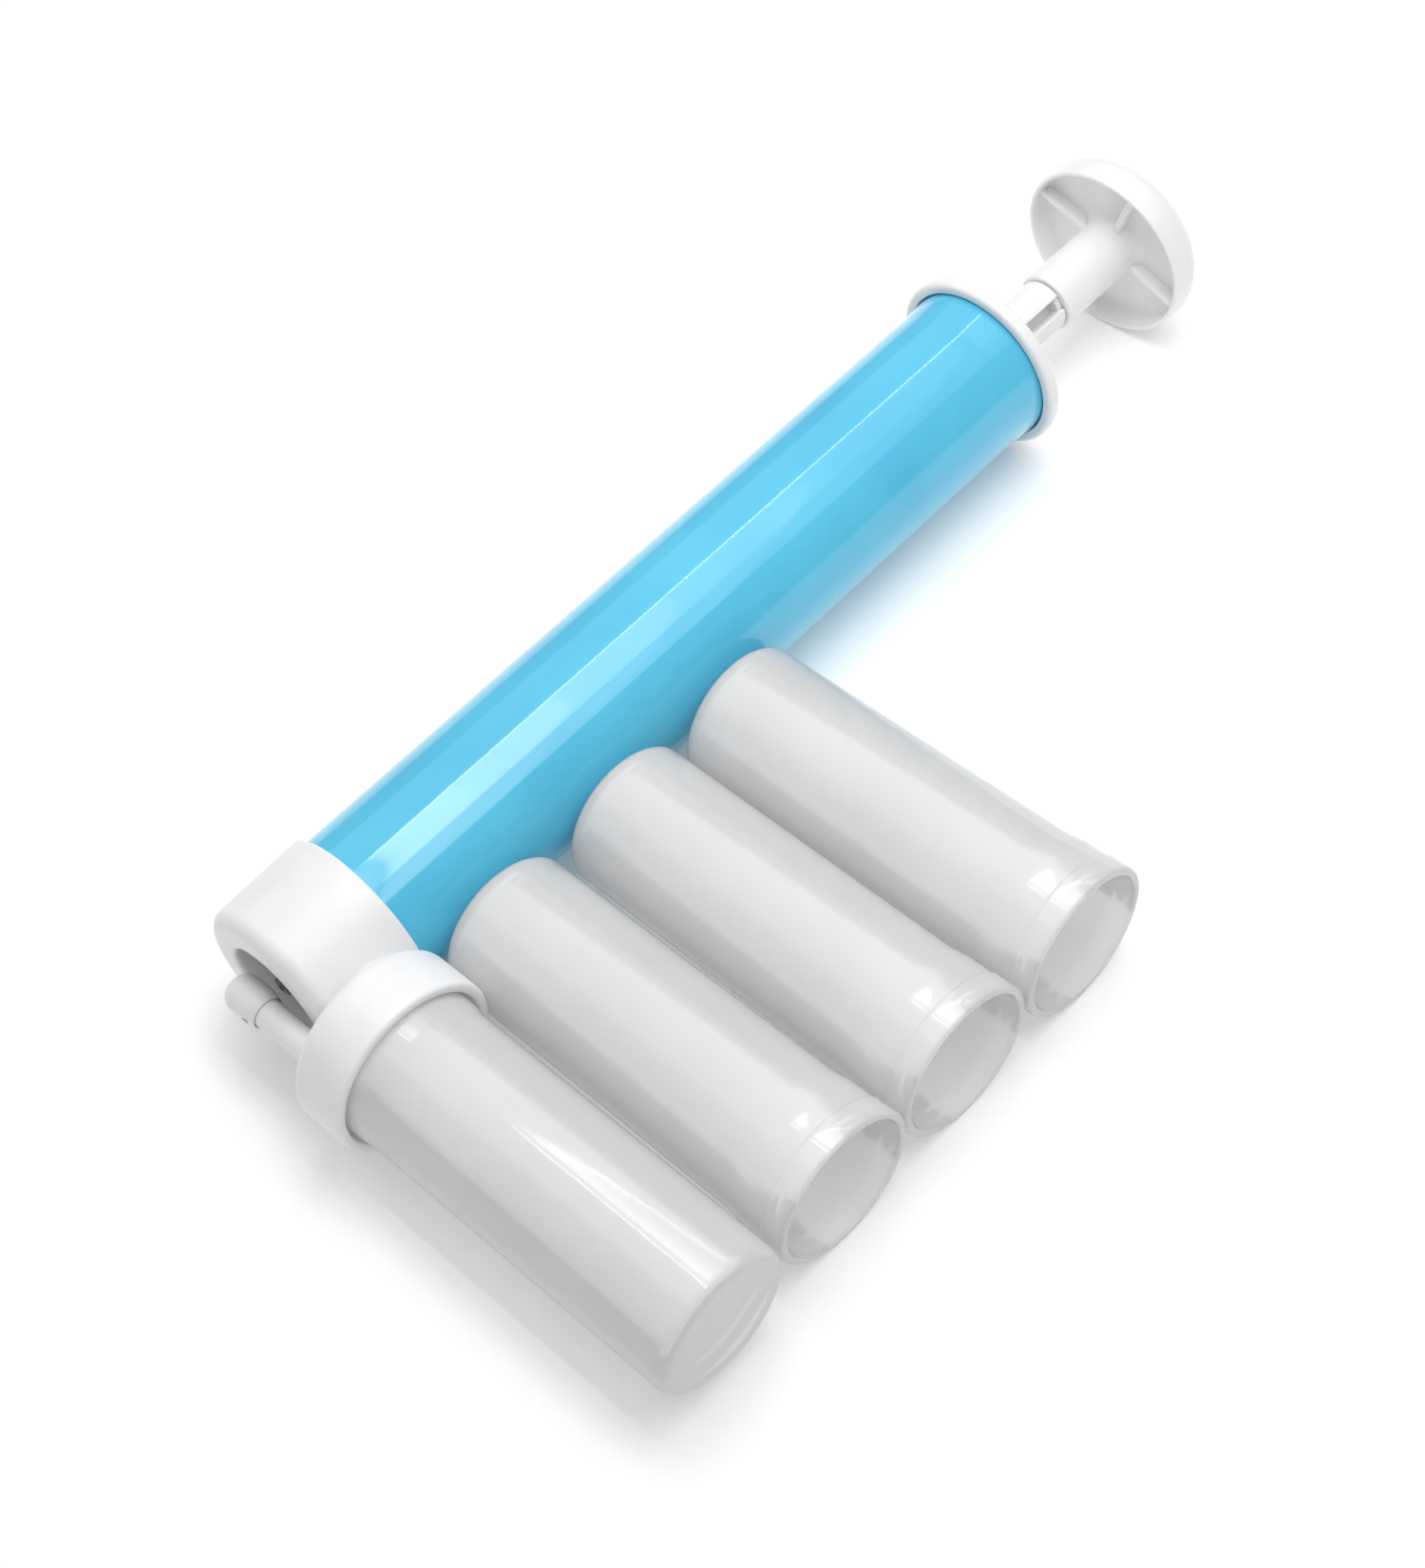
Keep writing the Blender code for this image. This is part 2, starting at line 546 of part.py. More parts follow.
def make_piston(plunger):
    body = BARREL_BORE - 1.3 * GAP
    turned("piston_front", [
        (PISTON_FRONT + GAP, SCREW_HOLE), (PISTON_FRONT + GAP, 12.6 * MM, 0.5 * MM),
        (SEAL_WEB_FRONT - GAP, 12.6 * MM), (SEAL_WEB_FRONT - GAP, SCREW_HOLE),
    ], WHITE_PLASTIC, plunger, sides=JAR_SIDES)
    turned("piston_seal", [
        (SEAL_WEB_FRONT, SCREW_HOLE),
        (SEAL_WEB_FRONT, 13.2 * MM),
        (SEAL_FRONT, 14.2 * MM),
        (SEAL_FRONT, BARREL_BORE - 0.25 * MM),
        (SEAL_REAR, body - 0.2 * MM),
        (SEAL_REAR, SCREW_HOLE),
    ], GREY_RUBBER, plunger, sides=JAR_SIDES)
    waist = 13.4 * MM
    turned("piston_rear", [
        (SEAL_REAR + GAP, SCREW_HOLE),
        (SEAL_REAR + GAP, body, 0.3 * MM),
        (SEAL_REAR + 2.6 * MM, body),
        (SEAL_REAR + 2.6 * MM, waist),
        (PISTON_REAR - 2.3 * MM, waist),
        (PISTON_REAR - 2.3 * MM, body),
        (PISTON_REAR, body, 0.3 * MM),
        (PISTON_REAR, SCREW_HOLE),
    ], WHITE_PLASTIC, plunger, sides=JAR_SIDES)
    head_radius = 4.2 * MM
    screw = turned("piston_screw", [
        (SCREW_FRONT, 0),
        (SCREW_FRONT, head_radius, 0.6 * MM),
        (PISTON_FRONT, head_radius),
        (PISTON_FRONT, SCREW_RADIUS),
        (ROD_FRONT + 6.5 * MM, SCREW_RADIUS, 0.5 * MM),
        (ROD_FRONT + 6.5 * MM, 0),
    ], STEEL, plunger, sides=SMALL_SIDES, closed=False)
    slot = finish_object("screw_slot_cutter", block_mesh(
        (SCREW_FRONT - 1 * MM, -0.5 * MM, -2 * head_radius),
        (SCREW_FRONT + 0.8 * MM, 0.5 * MM, 2 * head_radius)), plunger)
    combine(screw, slot, 'DIFFERENCE')


def main():
    clear_scene()
    table = make_empty("table_level", (HEAD_X, BARREL_Y, 0))
    pump = make_empty("pump_axis", (HEAD_X, BARREL_Y, AXIS_HEIGHT), (0, -RISE, 0))
    head = make_empty("jar_drop", (0, 0, 0), (JAR_DROP, 0, 0), pump)
    plunger = make_empty("plunger_axis", (0, 0, 0), (RIB_TURN, 0, 0), pump)
    make_barrel(pump)
    make_spray_head(head)
    make_air_nozzle(pump)
    make_outlet(head)
    make_jars(head, table)
    make_rear_cap(pump)
    make_plunger(plunger)
    make_piston(plunger)


main()
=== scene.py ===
"""Looks for the hand-pumped powder sprayer and its jars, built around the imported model.

Every piece is made in millimetres in the frame of the pump, the head or a jar, and is then
moved into the row frame in metres, so a piece's own coordinates are the row's at rest.
Numbers in the outlines are (position along X, radius, rounding), all in millimetres.
"""
import json
from math import asin, atan, cos, pi, radians, sin, tau

import bmesh
import bpy
from mathutils import Matrix, Vector


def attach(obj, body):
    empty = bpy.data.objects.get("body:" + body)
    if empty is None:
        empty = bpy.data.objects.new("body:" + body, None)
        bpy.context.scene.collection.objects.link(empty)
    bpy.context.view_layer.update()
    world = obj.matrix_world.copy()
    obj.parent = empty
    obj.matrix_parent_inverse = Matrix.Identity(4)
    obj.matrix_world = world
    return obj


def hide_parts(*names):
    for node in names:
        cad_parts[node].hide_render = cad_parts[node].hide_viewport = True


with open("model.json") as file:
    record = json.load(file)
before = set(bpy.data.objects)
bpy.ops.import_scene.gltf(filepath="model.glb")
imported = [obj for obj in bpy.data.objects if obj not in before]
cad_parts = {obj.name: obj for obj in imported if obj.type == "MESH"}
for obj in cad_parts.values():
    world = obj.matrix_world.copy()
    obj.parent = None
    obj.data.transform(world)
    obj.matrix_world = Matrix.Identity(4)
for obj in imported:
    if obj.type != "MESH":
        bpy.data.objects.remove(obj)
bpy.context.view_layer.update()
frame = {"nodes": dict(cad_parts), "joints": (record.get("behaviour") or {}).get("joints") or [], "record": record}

MM = 0.001
ROUND_SIDES = 144
SMALL_SIDES = 64
ARC_STEP = radians(9)
SHARP_ANGLE = radians(40)

# Driving dimensions in mm, the same as the frame's
GAP = 0.3
BARREL_RADIUS, BARREL_BORE = 17.5, 15.7
BARREL_FRONT, BARREL_REAR = 13.3, 206.3
BARREL_FLARE, BARREL_FLARE_LENGTH = 0.4, 9
HOOD_FRONT_RADIUS, HOOD_REAR_RADIUS, HOOD_LENGTH = 18.45, 18.95, 22.65
HOOD_MOUTH_RADIUS, HOOD_INNER_LENGTH, HOOD_LIP_ROUNDING = 10.85, 10.3, 3.2
NOZZLE_GROOVE_FRONT, NOZZLE_GROOVE_REAR, NOZZLE_GROOVE_DEPTH, NOZZLE_REAR = 14.2, 16.4, 1.7, 18.0
JAR_AXIS_X, JAR_REACH = 6.2, 110.3
CAP_RADIUS, CAP_BORE, CAP_TOP, CAP_ROOF, CAP_RIM = 18.75, 16.65, 19.3, 1.0, 32.6
CAP_SHOULDER, GASKET_BORE = 2.8, 13.2
NECK_X, NECK_RADIUS = 11.7, 10.4
PIPE_X, PIPE_RADIUS, PIPE_BORE, PIPE_INNER_END, PIPE_JAR_END = -3.5, 3.1, 1.3, 3.7, 26.0
TIP_RADIUS, TIP_FOOT_RADIUS, TIP_TAPER, TIP_LENGTH, TIP_END = 4.0, 3.5, 2.6, 9.6, 7.4
JET_HOLE = 0.8
TUBE_RADIUS, TUBE_BORE, TUBE_SOCKET = 2.0, 1.2, 4.2
JAR_LENGTH, JAR_BASE_RADIUS, JAR_NECK_RADIUS = 88.4, 15.28, 15.43
JAR_COLLAR_RADIUS, JAR_COLLAR_LENGTH, JAR_WALL, JAR_CORNER = 16.35, 8.5, 1.2, 2.4
JAR_FLARE_START, JAR_FLARE_END = 6.5, 2.2
REAR_CAP_FRONT, REAR_CAP_THICKNESS, REAR_CAP_RADIUS = 204.5, 3.5, 20.5
REAR_CAP_SPIGOT_FRONT = 194
GUIDE_RADIUS, GUIDE_FLANGE_RADIUS, GUIDE_FRONT, GUIDE_FACE = 7.1, 8.8, 198.5, 209.3
RIB_TURN, GROOVE_TURN = radians(20), radians(124)
ROD_RADIUS, GROOVE_WIDTH, GROOVE_DEPTH, ROD_FRONT, ROD_REAR = 6.0, 3.0, 4.3, 51.9, 249.5
ROD_BOSS_LENGTH, ROD_BOSS_RADIUS, SCREW_HOLE = 9, 5.2, 2.3
SPIGOT_RADIUS, SLEEVE_RADIUS, SLEEVE_FRONT = 4.8, 6.8, 228.0
KNOB_FRONT, KNOB_FLOOR, KNOB_TOP, KNOB_RADIUS, KNOB_RIB = 247.5, 251.8, 259.0, 20.9, 1.6

# Stage and light
WINDOW_HEIGHT = 500             # mm over the barrel's axis
SKY_STRENGTH = 0.40
FLOOR_SIZE = 4                  # m
FLOOR_GLOW = 0.12

# Milky plastic of the jars
JAR_PAINTED_GLOW = 0.2                  # painted glow: the jar wall gives off light of its own, standing in for light that bounces many times in the wall and lifting the jars' shaded sides
JAR_CLEAR_SHARE = 0.45          # of the light that goes through, how much goes straight
JAR_THROUGH_SHARE = 0.5
JAR_SKIN_IOR = 1.5
JAR_SKIN_ROUGHNESS = 0.09

# Camera, in the pump's frame
CAMERA_TARGET = (87.55, -31.10, -0.31)
CAMERA_DISTANCE = 523.9
CAMERA_AZIMUTH, CAMERA_ELEVATION, CAMERA_ROLL = radians(-38.80), radians(53.82), radians(-10.02)
FOCAL_LENGTH = 2840.4           # in pixels of the full picture
IMAGE_HEIGHT = 1650
SENSOR_SIZE = 36

# Spare jars: (along the pump, closed end out from the barrel axis, yaw)
SPARE_JARS = (
    (40.4, 19.5, radians(-0.65)),
    (73.8, 19.4, radians(-0.85)),
    (105.5, 20.0, radians(0.2)),
)


# ---------------------------------------------------------------- where things are

def placed(origin, x, y):
    """Frame with millimetre coordinates, from its origin in metres and two axes."""
    z = x.cross(y).normalized()
    matrix = Matrix((x, y, z)).transposed().to_4x4()
    matrix.translation = origin
    return matrix @ Matrix.Scale(MM, 4)


joints = {joint["name"]: joint for joint in frame["joints"]}
mounts = {mount["name"]: mount for mount in frame["record"]["mounts"]}
along_pump = Vector(joints["plunger_slide"]["axis"]).normalized()
along_jar = Vector(joints["jar_pull"]["axis"]).normalized()
jar_end = Vector(mounts["jar_end_face"]["pos_m"])
pump_origin = jar_end - along_pump * JAR_AXIS_X * MM - along_jar * JAR_REACH * MM
PUMP = placed(pump_origin, along_pump, Vector((0, 1, 0)))
HEAD = placed(pump_origin, along_pump, -along_jar)
PLUNGER = PUMP @ Matrix.Rotation(RIB_TURN, 4, 'X')
JAR = HEAD @ Matrix.Translation((JAR_AXIS_X, -JAR_REACH, 0)) @ Matrix.Rotation(pi / 2, 4, 'Z')


def spare_jar_frame(along, out, yaw):
    span = JAR_LENGTH - JAR_COLLAR_LENGTH - JAR_CORNER
    lean = atan((JAR_COLLAR_RADIUS - JAR_BASE_RADIUS) / span)
    height = JAR_BASE_RADIUS * cos(lean) - JAR_CORNER * sin(lean)
    place = Vector((pump_origin.x + along * MM, pump_origin.y - out * MM, height * MM))
    return (Matrix.Translation(place) @ Matrix.Rotation(yaw - pi / 2, 4, 'Z')
            @ Matrix.Rotation(-lean, 4, 'Y') @ Matrix.Scale(MM, 4))


# ---------------------------------------------------------------- mesh helpers

def rounded_outline(corners, closed):
    """Corners are (x, radius) or (x, radius, rounding); roundings become arcs."""
    points = []
    count = len(corners)
    for index, corner in enumerate(corners):
        here = Vector(corner[:2])
        is_end = not closed and index in (0, count - 1)
        rounding = corner[2] if len(corner) > 2 and not is_end else 0
        if rounding == 0:
            points.append(here)
            continue
        to_last = (Vector(corners[index - 1][:2]) - here).normalized()
        to_next = (Vector(corners[(index + 1) % count][:2]) - here).normalized()
        half = to_last.angle(to_next) / 2
        middle = here + (to_last + to_next).normalized() * rounding / sin(half)
        start = here + to_last * rounding * cos(half) / sin(half) - middle
        sweep = start.angle_signed(here + to_next * rounding * cos(half) / sin(half) - middle)
        steps = max(1, round(abs(sweep) / ARC_STEP))
        for step in range(steps + 1):
            angle = -sweep * step / steps
            points.append(middle + Vector((start.x * cos(angle) - start.y * sin(angle),
                                           start.x * sin(angle) + start.y * cos(angle))))
    return points


def turned_mesh(corners, sides=ROUND_SIDES, closed=True):
    """Spins an outline of (x, radius) corners about X; an open outline ends on the axis."""
    bm = bmesh.new()
    ring = [bm.verts.new((point.x, point.y, 0)) for point in rounded_outline(corners, closed)]
    edges = [bm.edges.new(pair) for pair in zip(ring, ring[1:])]
    if closed:
        edges.append(bm.edges.new((ring[-1], ring[0])))
    bmesh.ops.spin(bm, geom=ring + edges, cent=(0, 0, 0), axis=(1, 0, 0), angle=tau,
                   steps=sides, use_merge=True)
    bmesh.ops.remove_doubles(bm, verts=bm.verts, dist=0.001)
    return bm


def block_mesh(low, high):
    bm = bmesh.new()
    bmesh.ops.create_cube(bm, size=1)
    for vertex in bm.verts:
        vertex.co = [low[i] + (high[i] - low[i]) * (vertex.co[i] + 0.5) for i in range(3)]
    return bm


def grooved_mesh(start, end):
    """A round bar along X with a lengthwise groove in each of two sides; make_plunger rounds its edges afterwards
    with a bevel.
    """
    half = GROOVE_WIDTH / 2
    floor = ROD_RADIUS - GROOVE_DEPTH
    edge = asin(half / ROD_RADIUS)
    arc = [edge + (pi - 2 * edge) * step / 32 for step in range(33)]
    side = [(floor, -half), (floor, half)]
    side += [(ROD_RADIUS * cos(angle), ROD_RADIUS * sin(angle)) for angle in arc]
    bm = bmesh.new()
    ring = [bm.verts.new((start, y * flip, z * flip)) for flip in (1, -1) for y, z in side]
    face = bm.faces.new(ring)
    pushed = bmesh.ops.extrude_face_region(bm, geom=[face])
    moved = [item for item in pushed["geom"] if isinstance(item, bmesh.types.BMVert)]
    bmesh.ops.translate(bm, verts=moved, vec=(end - start, 0, 0))
    return bm


def swept_tube_mesh(line, radius, bore, sides):
    """A tube along a line in the XY plane, with square-cut open ends."""
    bm = bmesh.new()
    rings = []
    for index, point in enumerate(line):
        along = (line[min(index + 1, len(line) - 1)] - line[max(index - 1, 0)]).normalized()
        across = Vector((-along.y, along.x, 0))
        rings.append([[bm.verts.new(point + across * size * cos(tau * k / sides)
                                    + Vector((0, 0, size * sin(tau * k / sides))))
                       for k in range(sides)] for size in (radius, bore)])
    for k in range(sides):
        n = (k + 1) % sides
        for (outer, inner), (next_outer, next_inner) in zip(rings, rings[1:]):
            bm.faces.new((outer[k], next_outer[k], next_outer[n], outer[n]))
            bm.faces.new((inner[k], inner[n], next_inner[n], next_inner[k]))
        for outer, inner in (rings[0], rings[-1]):
            bm.faces.new((outer[k], outer[n], inner[n], inner[k]))
    return bm


def bezier(points, steps):
    line = []
    for step in range(steps + 1):
        t = step / steps
        weights = ((1 - t) ** 3, 3 * t * (1 - t) ** 2, 3 * t * t * (1 - t), t ** 3)
        line.append(sum((Vector((*p, 0)) * w for p, w in zip(points, weights)), Vector((0, 0, 0))))
    return line


def in_scene(name, data):
    thing = bpy.data.objects.new(name, data)
    bpy.context.scene.collection.objects.link(thing)
    return thing


def raw_object(name, bm):
    """A bmesh as an object in millimetres, for modifiers."""
    bmesh.ops.recalc_face_normals(bm, faces=bm.faces)
    mesh = bpy.data.meshes.new(name)
    bm.to_mesh(mesh)
    bm.free()
    return in_scene(name, mesh)


def apply_modifiers(thing):
    graph = bpy.context.evaluated_depsgraph_get()
    mesh = bpy.data.meshes.new_from_object(thing.evaluated_get(graph))
    old = thing.data
    thing.modifiers.clear()
    thing.data = mesh
    bpy.data.meshes.remove(old)


def combine(thing, tool, operation, place=Matrix.Identity(4)):
    """Joins or cuts with a tool made in the same millimetres, and removes the tool."""
    tool.data.transform(place)
    modifier = thing.modifiers.new("combine", 'BOOLEAN')
    modifier.operation = operation
    modifier.solver = 'EXACT'
    modifier.object = tool
    apply_modifiers(thing)
    bpy.data.objects.remove(tool, do_unlink=True)


def soften(thing, voxel, rounds):
    """Remeshes to small even faces and smooths them, which rounds off moulded corners."""
    remesh = thing.modifiers.new("remesh", 'REMESH')
    remesh.mode = 'VOXEL'
    remesh.voxel_size = voxel
    remesh.adaptivity = 0
    smooth = thing.modifiers.new("smooth", 'SMOOTH')
    smooth.factor = 0.5
    smooth.iterations = rounds
    apply_modifiers(thing)


def finish_piece(thing, place, material, body, nodes):
    thing.data.transform(place)
    thing.data.shade_smooth()
    thing.data.set_sharp_from_angle(angle=SHARP_ANGLE)
    thing.data.materials.clear()
    thing.data.materials.append(material)
    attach(thing, body)
    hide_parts(*nodes)
    return thing


def turned_piece(name, corners, place, material, body, nodes, sides=ROUND_SIDES, closed=True):
    thing = raw_object(name, turned_mesh(corners, sides, closed))
    return finish_piece(thing, place, material, body, nodes)


# ---------------------------------------------------------------- materials

def new_material(name):
    material = bpy.data.materials.new(name)
    material.use_nodes = True
    tree = material.node_tree
    return material, tree, tree.nodes["Principled BSDF"]


def noise(tree, scale, detail=3.0):
    """Noise in the piece's own coordinates; the scale is in features per metre."""
    where = tree.nodes.new("ShaderNodeTexCoord")
    texture = tree.nodes.new("ShaderNodeTexNoise")
    texture.inputs["Scale"].default_value = scale
    texture.inputs["Detail"].default_value = detail
    tree.links.new(where.outputs["Object"], texture.inputs["Vector"])
    return texture.outputs["Fac"]


def spread(tree, value, low, high):
    """Stretches the middle of a noise, where nearly all of it lies, over a range."""
    node = tree.nodes.new("ShaderNodeMapRange")
    node.inputs["From Min"].default_value = 0.3
    node.inputs["From Max"].default_value = 0.7
    node.inputs["To Min"].default_value = low
    node.inputs["To Max"].default_value = high
    tree.links.new(value, node.inputs["Value"])
    return node.outputs["Result"]


def mottle(tree, shader, dark, light, scale):
    """Cloudy change between two near colours, as in moulded plastic."""
    mix = tree.nodes.new("ShaderNodeMix")
    mix.data_type = 'RGBA'
    mix.inputs["A"].default_value = (*dark, 1)
    mix.inputs["B"].default_value = (*light, 1)
    tree.links.new(spread(tree, noise(tree, scale), 0, 1), mix.inputs["Factor"])
    tree.links.new(mix.outputs["Result"], shader.inputs["Base Color"])


def roughen(tree, shader, low, high, scale):
    tree.links.new(spread(tree, noise(tree, scale, 5.0), low, high), shader.inputs["Roughness"])


def ripple(tree, shader, depth, scale):
    """Fine unevenness of a moulded surface; the depth is in metres."""
    bump = tree.nodes.new("ShaderNodeBump")
    bump.inputs["Strength"].default_value = 1.0
    bump.inputs["Distance"].default_value = depth
    tree.links.new(noise(tree, scale, 2.0), bump.inputs["Height"])
    tree.links.new(bump.outputs["Normal"], shader.inputs["Normal"])


def blue_plastic():
    material, tree, shader = new_material("barrel_blue")
    mottle(tree, shader, (0.072, 0.48, 0.725), (0.095, 0.555, 0.785), 35)
    roughen(tree, shader, 0.07, 0.12, 120)
    ripple(tree, shader, 0.000008, 60)
    shader.inputs["IOR"].default_value = 1.5
    shader.inputs["Coat Weight"].default_value = 0.5
    shader.inputs["Coat Roughness"].default_value = 0.04
    return material


def white_plastic(name, dark, light, low, high):
    material, tree, shader = new_material(name)
    mottle(tree, shader, dark, light, 60)
    roughen(tree, shader, low, high, 150)
    ripple(tree, shader, 0.00002, 400)
    shader.inputs["Subsurface Weight"].default_value = 0.15
    shader.inputs["Subsurface Radius"].default_value = (0.002, 0.002, 0.002)
    shader.inputs["Subsurface Scale"].default_value = 1.0
    return material


def mixed(tree, first, second):
    mix = tree.nodes.new("ShaderNodeMixShader")
    tree.links.new(first.outputs[0], mix.inputs[1])
    tree.links.new(second.outputs[0], mix.inputs[2])
    return mix


def frosted_plastic():
    """Milky plastic: part of the light scatters back, part scatters through, part goes straight."""
    material, tree, shader = new_material("jar_frosted")
    mottle(tree, shader, (0.82, 0.822, 0.825), (0.87, 0.871, 0.873), 45)
    roughen(tree, shader, 0.30, 0.38, 90)
    ripple(tree, shader, 0.000008, 80)
    shader.inputs["Specular IOR Level"].default_value = 0.2
    # Painted glow: the jar plastic gives off even light of its own, which flattens its shading
    shader.inputs["Emission Color"].default_value = (1, 1, 1, 1)
    shader.inputs["Emission Strength"].default_value = JAR_PAINTED_GLOW
    through = tree.nodes.new("ShaderNodeBsdfTranslucent")
    through.inputs["Color"].default_value = (0.97, 0.97, 0.97, 1)
    straight = tree.nodes.new("ShaderNodeBsdfTransparent")
    straight.inputs["Color"].default_value = (0.97, 0.97, 0.97, 1)
    gloss = tree.nodes.new("ShaderNodeBsdfGlossy")
    gloss.inputs["Roughness"].default_value = JAR_SKIN_ROUGHNESS
    tree.links.new(shader.inputs["Normal"].links[0].from_socket, gloss.inputs["Normal"])
    fresnel = tree.nodes.new("ShaderNodeFresnel")
    fresnel.inputs["IOR"].default_value = JAR_SKIN_IOR
    inner = mixed(tree, through, straight)
    inner.inputs["Fac"].default_value = JAR_CLEAR_SHARE
    outer = mixed(tree, shader, inner)
    outer.inputs["Fac"].default_value = JAR_THROUGH_SHARE
    skin = mixed(tree, outer, gloss)
    tree.links.new(fresnel.outputs[0], skin.inputs["Fac"])
    tree.links.new(skin.outputs[0], tree.nodes["Material Output"].inputs["Surface"])
    return material


def soft_tube():
    material, tree, shader = new_material("tube_soft")
    mottle(tree, shader, (0.80, 0.80, 0.78), (0.88, 0.88, 0.86), 150)
    roughen(tree, shader, 0.3, 0.45, 300)
    shader.inputs["Transmission Weight"].default_value = 0.2
    return material


def rubber(name, dark, light):
    material, tree, shader = new_material(name)
    mottle(tree, shader, dark, light, 300)
    roughen(tree, shader, 0.55, 0.75, 500)
    ripple(tree, shader, 0.00003, 1500)
    return material


def steel():
    material, tree, shader = new_material("screw_steel")
    mottle(tree, shader, (0.52, 0.52, 0.53), (0.62, 0.62, 0.63), 400)
    roughen(tree, shader, 0.25, 0.4, 900)
    ripple(tree, shader, 0.00001, 3000)
    shader.inputs["Metallic"].default_value = 1
    return material


BLUE = blue_plastic()
HEAD_WHITE = white_plastic("head_white", (0.80, 0.80, 0.81), (0.86, 0.86, 0.87), 0.32, 0.42)
HANDLE_WHITE = white_plastic("handle_white", (0.80, 0.80, 0.81), (0.86, 0.86, 0.865), 0.28, 0.38)
INNER_WHITE = white_plastic("inner_white", (0.74, 0.74, 0.75), (0.80, 0.80, 0.81), 0.35, 0.5)
# Painted shade: the air nozzle plug deep in the hood's mouth is given a dark grey that paints the shade inside the
# mouth
NOZZLE_PAINTED_SHADE = white_plastic("nozzle_painted_shade", (0.13, 0.13, 0.135), (0.17, 0.17, 0.175), 0.4, 0.55)
FROSTED = frosted_plastic()
SOFT = soft_tube()
GREY_RUBBER = rubber("seal_rubber", (0.045, 0.045, 0.05), (0.07, 0.07, 0.075))
SILICONE = rubber("gasket_silicone", (0.66, 0.66, 0.64), (0.74, 0.74, 0.72))
STEEL = steel()


# ---------------------------------------------------------------- pieces

def make_barrel():
    flared = BARREL_RADIUS + BARREL_FLARE
    turned_piece("barrel_tube", [
        (BARREL_FRONT, BARREL_BORE, 0.3),
        (BARREL_FRONT, BARREL_RADIUS, 0.5),
        (BARREL_REAR - BARREL_FLARE_LENGTH, BARREL_RADIUS, 20),
        (BARREL_REAR - 3, flared, 8),
        (BARREL_REAR, flared, 0.3),
        (BARREL_REAR, BARREL_BORE, 0.3),
    ], PUMP, BLUE, "pump", ["barrel"])


def make_spray_head():
    """Hood, neck and jar cap in one moulding, with soft corners where they meet."""
    outwards = Matrix.Rotation(-pi / 2, 4, 'Z')
    neck_end = CAP_TOP + CAP_ROOF / 2
    hood = raw_object("spray_head_moulding", turned_mesh([
        (0, HOOD_MOUTH_RADIUS, 0.9),
        (0, HOOD_FRONT_RADIUS, HOOD_LIP_ROUNDING),
        (HOOD_LENGTH, HOOD_REAR_RADIUS, 0.4),
        (HOOD_LENGTH, BARREL_RADIUS + GAP),
        (BARREL_FRONT, BARREL_RADIUS + GAP),
        (BARREL_FRONT, BARREL_RADIUS),
        (4.6, BARREL_RADIUS),
        (2.2, BARREL_RADIUS - 1.1),
        (2.2, HOOD_MOUTH_RADIUS + 1.5),
        (HOOD_INNER_LENGTH, HOOD_MOUTH_RADIUS + 1.5),
        (HOOD_INNER_LENGTH, HOOD_MOUTH_RADIUS),
    ]))
    neck = raw_object("neck", turned_mesh([
        (HOOD_MOUTH_RADIUS, 0), (HOOD_MOUTH_RADIUS, NECK_RADIUS),
        (neck_end, NECK_RADIUS), (neck_end, 0)], closed=False))
    neck.data.transform(Matrix.Translation((NECK_X, 0, 0)) @ outwards)
    saddle_radius = (HOOD_FRONT_RADIUS + BARREL_RADIUS) / 2 + 0.15
    saddle = raw_object("saddle", turned_mesh([
        (-HOOD_LENGTH, 0), (-HOOD_LENGTH, saddle_radius),
        (2 * HOOD_LENGTH, saddle_radius), (2 * HOOD_LENGTH, 0)], closed=False))
    combine(neck, saddle, 'DIFFERENCE')
    cap = raw_object("cap", turned_mesh([
        (CAP_TOP, 0),
        (CAP_TOP, CAP_RADIUS, CAP_SHOULDER),
        (CAP_RIM, CAP_RADIUS, 1.0),
        (CAP_RIM, CAP_BORE, 0.4),
        (CAP_TOP + CAP_ROOF, CAP_BORE, 0.3),
        (CAP_TOP + CAP_ROOF, 0),
    ], closed=False))
    cap.data.transform(Matrix.Translation((JAR_AXIS_X, 0, 0)) @ outwards)
    hole = raw_object("hole", turned_mesh([
        (CAP_TOP - CAP_ROOF, 0), (CAP_TOP - CAP_ROOF, PIPE_RADIUS + GAP),
        (CAP_TOP + 2 * CAP_ROOF, PIPE_RADIUS + GAP), (CAP_TOP + 2 * CAP_ROOF, 0)],
        SMALL_SIDES, closed=False))
    combine(cap, hole, 'DIFFERENCE', Matrix.Translation((PIPE_X, 0, 0)) @ outwards)
    combine(hood, neck, 'UNION')
    combine(hood, cap, 'UNION')
    soften(hood, 0.3, 5)
    finish_piece(hood, HEAD, HEAD_WHITE, "pump", ["spray_head"])


def make_air_nozzle():
    front = HOOD_INNER_LENGTH + GAP
    rear = BARREL_FRONT - GAP
    spigot = BARREL_BORE - GAP
    groove = spigot - NOZZLE_GROOVE_DEPTH
    # The plug's dark grey paints the shade inside the hood's mouth.
    turned_piece("air_nozzle_plug", [
        (1.8, JET_HOLE, 0.1), (1.8, 2.0, 0.5), (front, 4.6, 1.0), (front, BARREL_RADIUS - GAP, 0.2),
        (rear, BARREL_RADIUS - GAP, 0.2), (rear, spigot),
        (NOZZLE_GROOVE_FRONT, spigot), (NOZZLE_GROOVE_FRONT, groove),
        (NOZZLE_GROOVE_REAR, groove), (NOZZLE_GROOVE_REAR, spigot),
        (NOZZLE_REAR, spigot, 0.3), (NOZZLE_REAR, spigot - 2.8),
        (rear, spigot - 2.8), (rear, 3.0), (6.5, JET_HOLE),
    ], PUMP, NOZZLE_PAINTED_SHADE, "pump", ["air_nozzle"])


